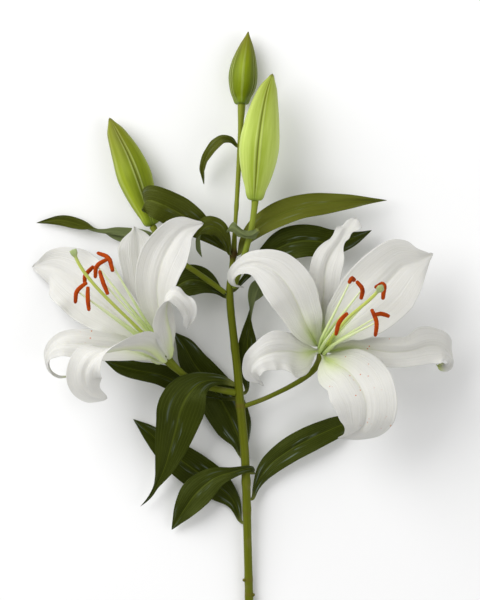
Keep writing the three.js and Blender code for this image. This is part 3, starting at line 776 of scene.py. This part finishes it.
LEFT, RIGHT, DOWN, LOW_RIGHT = (-1, 0, 0), (1, 0, 0), (0, -1, 0), (0.75, -0.6, 0)
LOW_LEFT, UP_RIGHT = (-0.5, -0.85, 0), (0.6, 0.8, 0)
INNER = dict(  # folds are shares of the half width, root_share is the size of the root to the first ring
    point=1.7, ruffle=1.5 * MM, waves=3.1, billow=1.0 * MM, groove=1.3 * MM, groove_width=1.6 * MM,
    folds=(0.3,), fold=0.35 * MM, thickness=0.45 * MM, keel=0.8 * MM, root_share=0.6)
OUTER = dict(INNER, point=1.5, ruffle=0.8 * MM, groove=1.0 * MM, keel=1.0 * MM, folds=(0.42,))
PETALS = {
    "left_inner_petal_back": dict(after=[frill(0.6, 1.0, 1.2 * MM, 3.0, 0.4)]),
    "left_inner_petal_right": dict(ruffle=0.6 * MM, billow=1.0 * MM),
    "left_inner_petal_front": dict(before=[widen(0.0, 0.55, 0.7, UP_RIGHT)], ruffle=0.8 * MM),
    "left_outer_petal_low": dict(after=[frill(0.5, 1.0, 0.8 * MM, 3.0, 1.0)]),
    "left_outer_petal_back": dict(point=2.2, before=[widen(0.6, 1.25, 0.4, LEFT)]),
    "left_outer_petal_right": dict(before=[widen(-0.2, 0.6, 0.8, LEFT), widen(-0.2, 0.5, 0.5, RIGHT)],
                                   after=[frill(0.55, 1.0, 1.6 * MM, 3.2, 2.0)]),
    "right_inner_petal_left": dict(point=2.8, ruffle=0.7 * MM, before=[widen(0.8, 1.3, 0.6, LEFT)]),
    "right_outer_petal_up": dict(
        point=2.4, before=[widen(0.66, 0.86, -0.35, RIGHT), widen(0.82, 1.14, 1.6, RIGHT)],
        after=[frill(0.75, 1.02, 2.0 * MM, 6.0, 0.4, flat=0.3)]),
    "right_inner_petal_right": dict(
        point=2.2, before=[even_out(0.62, 0.96, LOW_RIGHT), widen(0.6, 1.0, 0.32, LOW_RIGHT)],
        ruffle=0.2 * MM, billow=1.2 * MM),
    "right_outer_petal_right": dict(
        point=2.4, after=[frill(0.4, 1.02, 3.4 * MM, 2.7, 2.6, flat=0.35)]),
    "right_inner_petal_low": dict(before=[widen(-0.3, 0.36, 1.2, LOW_LEFT)], groove=1.6 * MM,
                                  ruffle=0.5 * MM),
    "right_outer_petal_left": dict(before=[widen(-0.08, 0.46, 0.9, DOWN)],
                                   after=[frill(0.25, 1.0, 2.0 * MM, 2.4, 1.9)]),
}
GREEN_TIPS = {"right_outer_petal_right": 0.9, "left_outer_petal_low": 0.5}
DUSTY_PETALS = {  # below 0 there are only a few specks
    "right_inner_petal_low": 1.0,
    "right_outer_petal_right": 0.6,
    "left_outer_petal_low": -0.5,
}
PETAL_SEED, LEAF_SEED, LEAFLET_SEED = 11, 31, 61


def build_petals():
    plain = petal_material("petal_skin")
    for seed, (node, changes) in enumerate(sorted(PETALS.items())):
        foot = flower_foot(node.split("_")[0])
        kind = INNER if "inner" in node else OUTER
        style = dict(kind, seed=seed + PETAL_SEED, root=lambda rings: foot)
        style.update(changes)
        skin = plain
        if node in DUSTY_PETALS:
            skin = petal_material("petal_skin_" + node, DUSTY_PETALS[node], GREEN_TIPS.get(node, 0))
        blade_piece(node, "fine_" + node, skin, style)


def middle_line(node):
    """The middle of the stem or a stalk, from its lower end up."""
    rings, tip = read_loft(node)
    centres = np.concatenate([rings.mean(1), [tip]])
    return smooth(centres, np.linspace(0, len(centres) - 1, 600))


STEM_LINE = middle_line("stem")


def root_inside(line):
    """Puts a leaf's root behind its first ring, inside the stem or stalk with this middle line."""

    def root(rings):
        centre = rings.mean(1)
        behind = centre[0] + unit(centre[0] - centre[1]) * LEAF_ROOT_DEPTH
        nearest = line[np.argmin(np.linalg.norm(line - behind, axis=1))]
        return behind + (nearest - behind) * LEAF_ROOT_INWARD

    return root


LEAF = dict(
    point=1.15, ruffle=0.9 * MM, waves=2.2, billow=0.7 * MM, groove=0.9 * MM, groove_width=1.5 * MM,
    folds=(0.5,), fold=0.2 * MM, thickness=0.32 * MM, keel=0.5 * MM, root=root_inside(STEM_LINE),
    root_share=0.9)
LEAF_CHANGES = {
    "low_front_leaf": dict(root_share=0.7, before=[widen(-0.15, 0.36, 0.5, DOWN)]),
    "far_left_leaf": dict(root=root_inside(middle_line("left_bud_stalk"))),
    "curled_leaf": dict(before=[widen(0.02, 0.55, -0.45, DOWN), widen(0.7, 1.1, 0.9, LEFT)]),
}
# How strongly the painted highlight streaks, grey blue gloss, show on these leaves.
LEAF_PAINTED_GLOSS = {
    "broad_middle_leaf": 0.75,
    "low_right_leaf": 0.65,
    "leaf_behind_right_flower": 0.6,
    "low_left_leaf": 0.5,
    "drooping_leaf": 0.3,
}
PALER_LEAVES = {
    "bract_leaf": 0.25,
    "upper_right_leaf": 0.45,
    "broad_upper_leaf": 0.12,
    "curled_leaf": 0.15,
    "far_left_leaf": 0.2,
}


def build_leaves():
    plain = leaf_material("leaf_skin")
    for seed, node in enumerate(sorted(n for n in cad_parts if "leaf" in n)):
        skin = plain
        if node in PALER_LEAVES or node in LEAF_PAINTED_GLOSS:
            pale, painted_gloss = PALER_LEAVES.get(node, 0), LEAF_PAINTED_GLOSS.get(node, PAINTED_GLOSS)
            skin = leaf_material("leaf_skin_" + node, pale, painted_gloss)
        style = dict(LEAF, seed=seed + LEAF_SEED)
        style.update(LEAF_CHANGES.get(node, {}))
        blade_piece(node, "fine_" + node, skin, style)


LEAFLET_LINE = MM * np.array([
    (10.5, 72.5, 42.0), (7.0, 70.2, 42.8), (2.5, 69.8, 43.5),
    (-2.5, 72.0, 44.0), (-6.5, 75.2, 43.5), (-10.0, 75.4, 42.5)])
LEAFLET_TIP = np.array((-13.5, 72.8, 41.5)) * MM
LEAFLET_HALF_WIDTHS = np.array((2.0, 3.8, 3.2, 3.2, 4.0, 3.0)) * MM
LEAFLET_SHARES = (0, 0.5, 1, 0.5, 0, -0.5, -1, -0.5)  # across, for each point of a ring
LEAFLET_RAISE = (-1, -1, 0, 1, 1, 1, 0, -1)  # up or down, for each point of a ring
LEAFLET_HALF_THICKNESS = 0.2 * MM


def build_leaflet():
    """The small wavy leaf in front of the top whorl. It has no CAD node."""
    up = np.array([0, 0, 1.0])
    along = unit(np.gradient(LEAFLET_LINE, axis=0))
    side = unit(np.cross(up, along))
    half = LEAFLET_HALF_WIDTHS[:, None, None]
    shares = np.array(LEAFLET_SHARES)[None, :, None]
    raised = np.array(LEAFLET_RAISE)[None, :, None] * LEAFLET_HALF_THICKNESS * up
    rings = LEAFLET_LINE[:, None] - side[:, None] * shares * half + raised
    style = dict(LEAF, seed=LEAFLET_SEED, after=[frill(-0.1, 1.0, 1.0 * MM, 2.4, 0.5)], ruffle=0.8 * MM,
                 root=lambda rings: LEAFLET_LINE[0] - along[0] * 2 * MM)
    skin = leaf_material("leaf_skin_leaflet", pale=0.3)
    blade_piece(None, "fine_small_wavy_leaf", skin, style, loft=(rings, LEAFLET_TIP))


def stem_radius(u, size):
    """The stem is slimmer at the cut end and broader again under the top bud."""
    return size * (0.87 + 0.07 * smoothstep(0.12, 0.42, u) + 0.25 * smoothstep(0.78, 0.97, u))


def flare(amount, start):
    """Stalks swell from start on, towards the flower or bud that they bear."""
    return lambda u, size: size * (1 + amount * smoothstep(start, 1.0, u))


STEM_NODES = (  # where leaves and stalks grow out: height and swelling
    (0.0547, 0.38), (0.093, 0.15), (-0.0669, 0.12), (-0.128, 0.12),
    (-0.150, 0.10), (-0.020, 0.10), (-0.207, 0.07), (-0.220, 0.07))
NODE_REACH = 3.5 * MM
LEAF_SCARS = ((-0.2075, -1), (-0.2190, 1))  # height, and -1 on the left or 1 on the right
SCAR_RADII = (1.6, 1.4, 1.9)
SCAR_OFFSET = (3.3, 0.8)  # sideways and up from the stem's middle
SCAR_PLACE = (0.1, 1.0, 0.0)
OVERLAP = 1.8 * MM  # how far stalks run into what they grow from and what they bear


def build_scar(number, height, way, skin):
    """The nub that a fallen leaf left on the stem."""
    nearest = STEM_LINE[np.argmin(np.abs(STEM_LINE[:, 1] - height))]
    sideways, up = SCAR_OFFSET
    middle = Vector(nearest) + Vector((way * sideways, 0, up)) * MM
    build = bmesh.new()
    bmesh.ops.create_icosphere(build, subdivisions=4, radius=1.0)
    for vertex in build.verts:
        x, y, z = vertex.co * 3.0
        rough = 1 + 0.12 * math.sin(4 * x + z) * math.cos(3 * y - x)
        size = Vector([radius * rough for radius in SCAR_RADII])
        vertex.co = middle + vertex.co * size * MM
    points = [vertex.co[:] for vertex in build.verts]
    faces = [[vertex.index for vertex in face.verts] for face in build.faces]
    build.free()
    place = np.full((len(points), 3), SCAR_PLACE)
    new_piece(f"leaf_scar_{number}", points, faces, skin, place)


def build_stems():
    skin = stem_material("stem_skin", browns=STEM_BROWNS)
    young = stem_material("stalk_skin", light=0.35)
    old = stem_material("old_stalk_skin", light=0.08)
    swellings = [(height, amount, NODE_REACH) for height, amount in STEM_NODES]
    tube_piece("stem", "fine_stem", skin, "green_stem", rows=300, point=6.0, radius=stem_radius,
               reach_up=OVERLAP, swellings=swellings)
    for number, (height, way) in enumerate(LEAF_SCARS, 1):
        build_scar(number, height, way, skin)
    under_flower, under_bud = flare(0.5, 0.86), flare(0.12, 0.9)
    stalks = {
        "left_flower_stalk": (old, under_flower),
        "right_flower_stalk": (old, under_flower),
        "right_bud_stalk": (young, under_bud),
        "left_bud_stalk": (old, under_bud),
    }
    for node, (stalk_skin, radius) in stalks.items():
        tube_piece(node, "fine_" + node, stalk_skin, "green_stem", point=6.0, radius=radius,
                   reach_down=OVERLAP, reach_up=OVERLAP)


def bud_profile(offset):
    """Three outer petals closed on each other: broad crests with narrow seams between them."""

    def profile(u, angle):
        body = np.sin(np.pi * np.clip(u, 0, 1)) ** 0.5
        turn = np.cos(3 * (angle + offset))
        seam = -0.07 * bump_at(turn + 1, 0.018)
        lip = 0.03 * bump_at(turn + 0.93, 0.05)
        rib = 0.02 * bump_at(turn - 1, 0.02)
        lobes = 0.13 * (1 - smoothstep(0.02, 0.14, u)) * turn
        return 1 + body * (0.05 * turn + seam + lip + rib) + lobes

    return profile


BUDS = {  # turn of the seams, darker and lighter green, how olive the tip is, the foot's extra radius
    "top_bud": (math.radians(60), (0.07, 0.10, 0.0), (0.23, 0.30, 0.004), 0.75, 0.9 * MM),
    "right_bud": (math.radians(4), (0.23, 0.31, 0.01), (0.54, 0.65, 0.16), 0.35, 1.5 * MM),
    "left_bud": (math.radians(-12), (0.085, 0.12, 0.0), (0.30, 0.37, 0.02), 0.6, 1.5 * MM),
}


def bud_radius(foot):
    """A bud's foot is broader than its stalk, by foot."""
    return lambda u, size: size + foot * (1 - smoothstep(0.015, 0.11, u))


def build_buds():
    for node, (offset, dark, light, olive, foot) in BUDS.items():
        skin = bud_material("skin_of_" + node, dark, light, olive, offset)
        tube_piece(node, "fine_" + node, skin, "bud_skin", sides=108, rows=90, point=1.25,
                   profile=bud_profile(offset), radius=bud_radius(foot), round_base=0.02,
                   reach_down=0.8 * MM)


def pistil_radius(u, size):
    """A six-ribbed ovary, a slender style and a broad knob of a stigma."""
    ovary = 2.3 * MM * (1 - smoothstep(0.12, 0.24, u))
    style = 1.35 * MM * smoothstep(0.05, 0.2, u)
    stigma = 1.35 * MM * smoothstep(0.935, 0.97, u)
    return ovary + style + stigma


def pistil_profile(u, angle):
    """The stigma has three lobes and the ovary six ribs."""
    stigma = smoothstep(0.93, 0.985, u)
    ovary = 1 - smoothstep(0.14, 0.24, u)
    return 1 + stigma * 0.2 * np.cos(3 * angle) + ovary * 0.1 * np.cos(6 * angle)


def filament_radius(u, size):
    """Filaments are broader at the foot."""
    return size * (1.55 - 0.35 * u)


def anther_radius(u, size):
    """Anthers are thickest in the middle."""
    return 1.55 * MM + 0.4 * MM * np.sin(math.pi * u)


def anther_profile(u, angle):
    """Two pollen sacs side by side, with a long groove between them."""
    grains = 0.05 * np.sin(38 * u + 2 * angle) * np.cos(21 * u - 3 * angle)
    groove = 0.2 * bump_at(np.sin(angle / 2), 0.15)
    seam = 0.12 * bump_at(np.cos(angle / 2), 0.12)
    return 1 + 0.10 * np.cos(2 * angle) - groove - seam + grains


def build_pistils_and_stamens():
    pistil_skin = pistil_material()
    stalk_skin = filament_material()
    pollen = anther_material()
    for node in sorted(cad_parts):
        if "pistil" in node:
            tube_piece(node, "fine_" + node, pistil_skin, "pistil_green", sides=36, rows=140, point=3.0,
                       radius=pistil_radius, profile=pistil_profile)
        if "filament" in node:
            tube_piece(node, "fine_" + node, stalk_skin, "filament_green", sides=16, rows=40, point=3.0,
                       radius=filament_radius, reach_down=3 * MM, reach_up=1.2 * MM)
        if "anther" in node:
            tube_piece(node, "fine_" + node, pollen, "anther_rust", sides=36, rows=56, point=2.0,
                       radius=anther_radius, profile=anther_profile, round_base=0.1)


# ---- Stage ----
def build_stage():
    """A pale floor and an even white surround."""
    size = FLOOR_SIZE
    mesh = bpy.data.meshes.new("table_top")
    corners = [(-size, -size, 0), (size, -size, 0), (size, size, 0), (-size, size, 0)]
    mesh.from_pydata(corners, [], [(0, 1, 2, 3)])
    floor = bpy.data.objects.new("table_top", mesh)
    bpy.context.scene.collection.objects.link(floor)
    s = Shader("table_paint")
    s.set(PALE_GREY, 0.9)
    mesh.materials.append(s.material)
    world = bpy.data.worlds.new("studio")
    world.use_nodes = True
    surround = world.node_tree.nodes["Background"]
    surround.inputs["Color"].default_value = (1, 1, 1, 1)
    surround.inputs["Strength"].default_value = WORLD_STRENGTH
    bpy.context.scene.world = world
    bpy.context.scene.view_settings.view_transform = "Standard"


def area_light(name, place, power):
    """A square soft box that points at the middle of the floor."""
    data = bpy.data.lights.new(name, "AREA")
    data.shape = "SQUARE"
    data.size = LIGHT_SIZE
    data.energy = power
    lamp = bpy.data.objects.new(name, data)
    lamp.location = place
    lamp.rotation_euler = (-Vector(place)).to_track_quat("-Z", "Y").to_euler()
    bpy.context.scene.collection.objects.link(lamp)


def build_lights():
    area_light("key", (-1.5, 1.1, 1.5), 64)
    area_light("fill", (1.7, -0.6, 1.5), 18)


def build_camera():
    data = bpy.data.cameras.new("camera")
    data.lens = LENS
    data.sensor_width = SENSOR
    data.clip_end = 50
    camera = bpy.data.objects.new("camera", data)
    camera.location = (*VIEW_CENTRE, STEM_HEIGHT + FRAME_HEIGHT * LENS / SENSOR)
    bpy.context.scene.collection.objects.link(camera)
    bpy.context.scene.camera = camera


build_camera()
build_stage()
build_lights()
build_stems()
build_leaves()
build_leaflet()
build_petals()
build_buds()
build_pistils_and_stamens()
